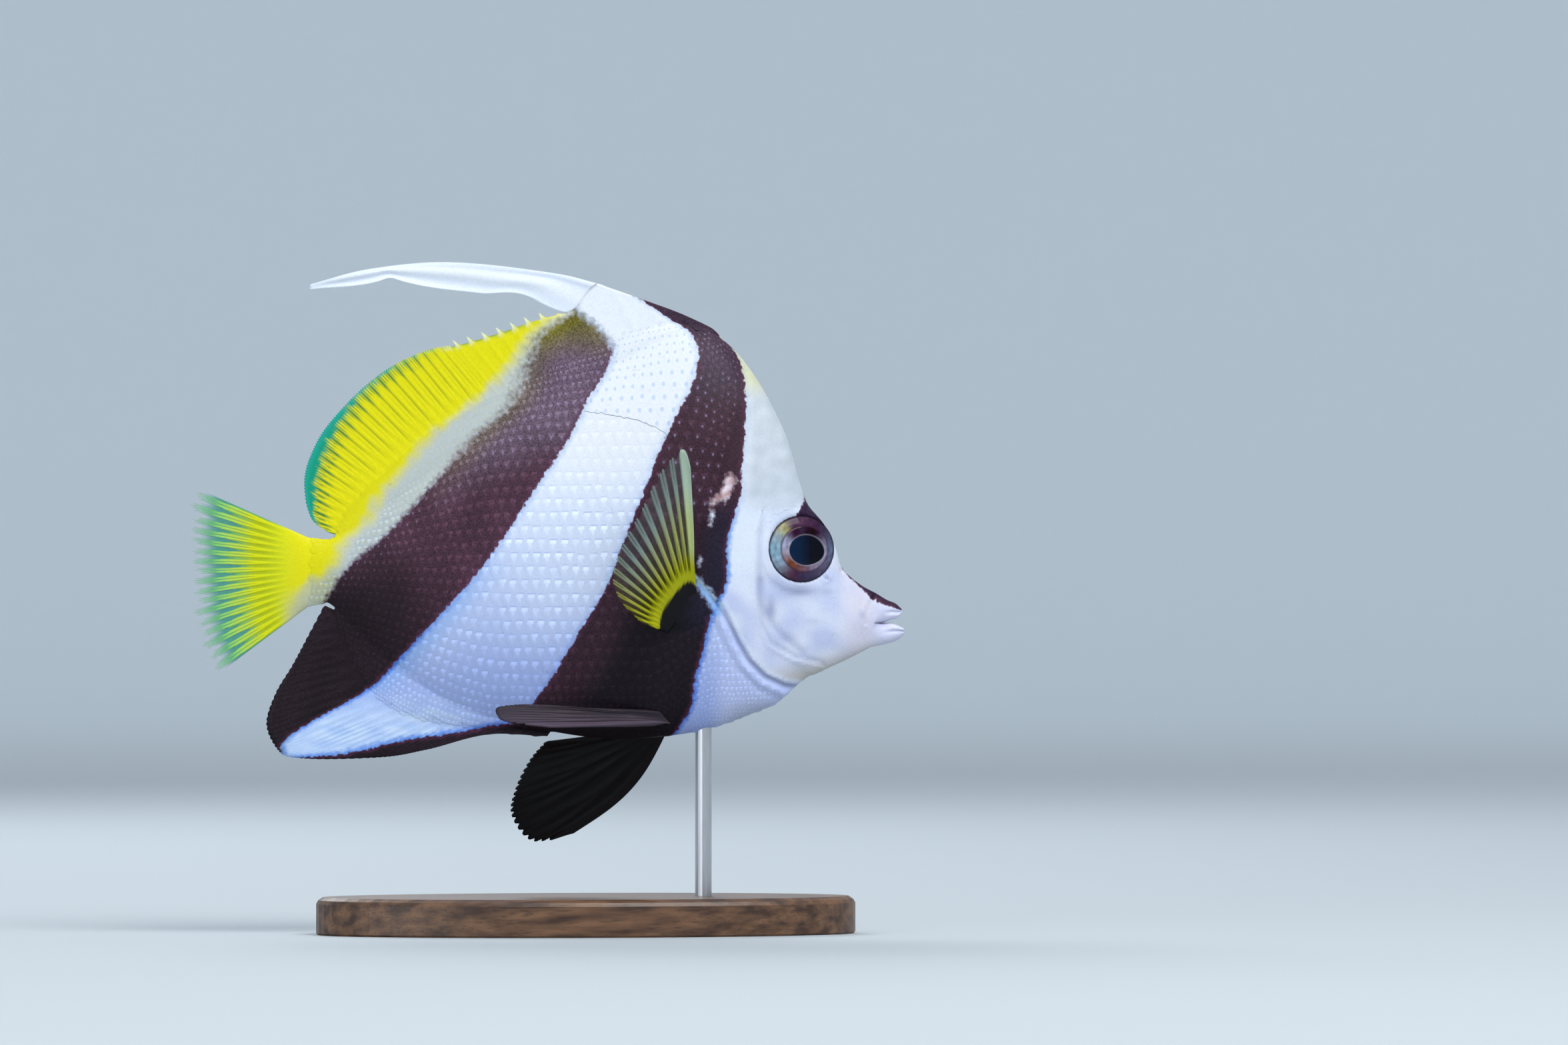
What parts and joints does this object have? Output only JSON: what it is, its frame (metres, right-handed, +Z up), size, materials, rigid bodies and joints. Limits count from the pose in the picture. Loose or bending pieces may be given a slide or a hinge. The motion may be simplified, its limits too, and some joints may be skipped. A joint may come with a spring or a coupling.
{
  "type": "bannerfish display model",
  "caption": "Life-size still model of a bannerfish with a long white banner on its dorsal fin, held by one rod on a flat oval stand.",
  "frame": {"origin": "middle of the stand's flat underside", "axes": "+X is where the fish looks, +Y is the fish's left side, +Z is up from the stand"},
  "size_m": [0.1703, 0.062, 0.1607],
  "materials": {
    "white_skin": "satin scaled skin, bluish white",
    "banded_skin": "satin scaled skin, two slanting dark maroon bands on white",
    "yellow_fin": "satin yellow fin membrane with rays",
    "dark_fin": "satin black fin membrane with rays",
    "eye": "wet, glossy, dark pupil in a dark iris",
    "stand_wood": "satin dark walnut",
    "stand_steel": "brushed"
  },
  "bodies": {
    "root": {"head": "white_skin", "gill_cover_right": "white_skin", "gill_cover_left": "white_skin", "upper_jaw": "white_skin", "lower_jaw": "white_skin", "eye_right": "eye", "eye_left": "eye", "trunk": "banded_skin", "tail_stalk": "yellow_fin", "tail_fin": "yellow_fin", "dorsal_fin_front": "white_skin", "banner": "white_skin", "dorsal_fin_spines": "yellow_fin", "dorsal_fin_soft": "yellow_fin", "anal_fin": "dark_fin", "pectoral_fin_right": "yellow_fin", "pectoral_fin_left": "yellow_fin", "pelvic_fin_right": "dark_fin", "pelvic_fin_left": "dark_fin", "stand_base": "stand_wood", "stand_rod": "stand_steel"}
  },
  "joints": []
}
